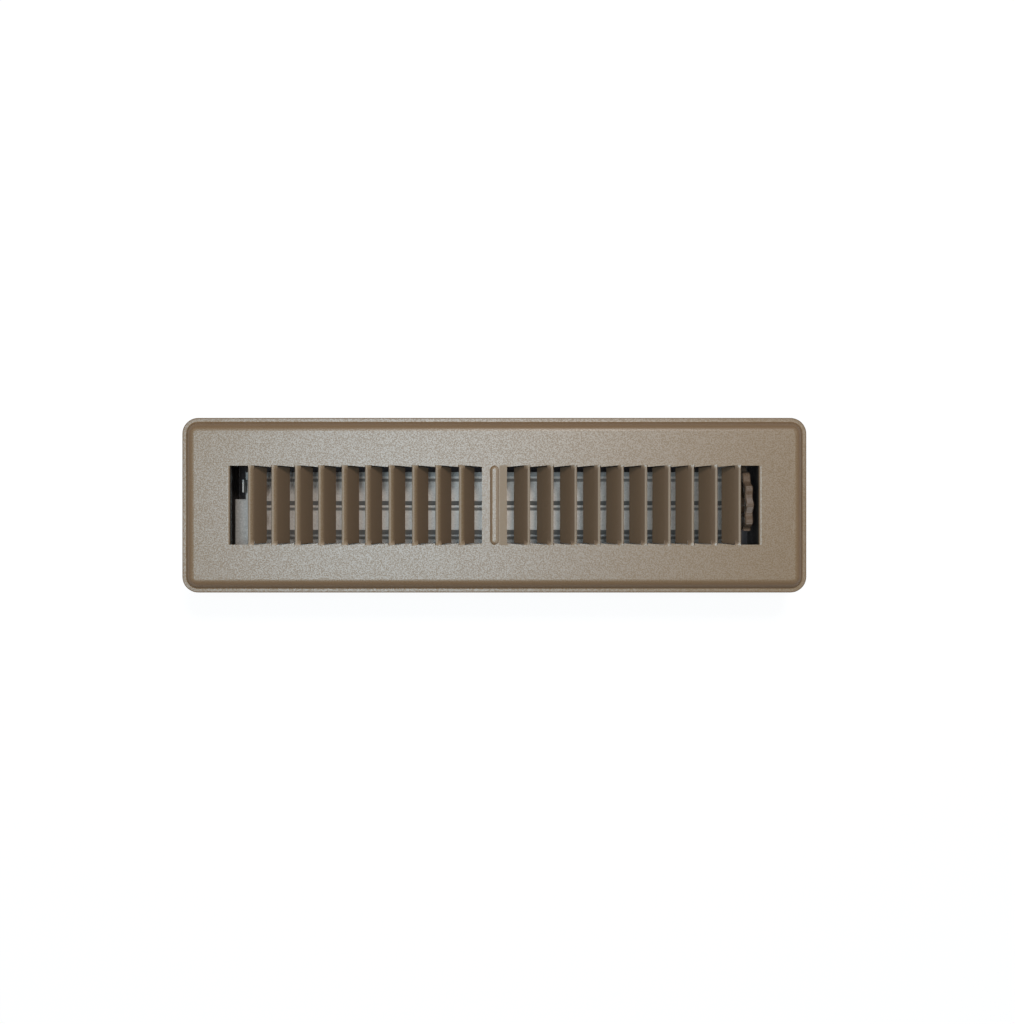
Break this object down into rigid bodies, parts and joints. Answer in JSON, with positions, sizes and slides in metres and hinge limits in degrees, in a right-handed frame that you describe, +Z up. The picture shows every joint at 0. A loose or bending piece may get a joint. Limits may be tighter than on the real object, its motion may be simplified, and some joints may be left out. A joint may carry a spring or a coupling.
{
  "type": "floor register",
  "caption": "Long rectangular steel floor register with two outward-leaning louver banks, and a two-vane damper below turned by a scalloped thumb wheel.",
  "frame": {"origin": "centre of the register in plan, on the floor plane under the faceplate's lip", "axes": "+X along the register towards the thumb wheel, +Y across it towards the rear, +Z up out of the floor"},
  "size_m": [0.3404, 0.0952, 0.0445],
  "materials": {
    "taupe_coat": "fine-textured satin powder coat",
    "dark_coat": "matt black-brown box paint",
    "grey_coat": "fine-textured satin powder coat",
    "zinc_steel": "zinc plated"
  },
  "bodies": {
    "register": {"faceplate": "taupe_coat", "rear_side_wall": "dark_coat", "front_side_wall": "dark_coat", "left_end_wall": "dark_coat", "right_end_wall": "dark_coat", "corner_rivets": "zinc_steel", "damper_pan": "grey_coat", "vane_pivots": "zinc_steel", "vane_spacers": "zinc_steel", "wheel_axle": "zinc_steel", "friction_washer": "zinc_steel"},
    "wheel": {"thumb_wheel": "taupe_coat", "wheel_crank_pin": "zinc_steel"},
    "rear_damper": {"rear_vane": "grey_coat", "rear_crank_pin": "zinc_steel"},
    "front_damper": {"front_vane": "grey_coat", "front_crank_pin": "zinc_steel"},
    "link": {"link_bar": "zinc_steel"}
  },
  "joints": [
    {"name": "wheel_turn", "type": "hinge", "parent": "register", "child": "wheel", "pos_m": [0.1386, 0, -0.018], "axis": [1, 0, 0], "range_deg": [0, 80]},
    {"name": "rear_vane_turn", "type": "hinge", "parent": "register", "child": "rear_damper", "pos_m": [0, 0.0082, -0.018], "axis": [1, 0, 0], "range_deg": [0, 80]},
    {"name": "front_vane_turn", "type": "hinge", "parent": "register", "child": "front_damper", "pos_m": [0, -0.0082, -0.018], "axis": [1, 0, 0], "range_deg": [0, 80]},
    {"name": "link_swing", "type": "hinge", "parent": "wheel", "child": "link", "pos_m": [0.13375, -0.00707, -0.02643], "axis": [1, 0, 0], "range_deg": [-80, 0]}
  ],
  "couplings": [
    {"joint": "rear_vane_turn", "follows": "wheel_turn", "ratio": 1},
    {"joint": "front_vane_turn", "follows": "wheel_turn", "ratio": 1},
    {"joint": "link_swing", "follows": "wheel_turn", "ratio": -1}
  ]
}
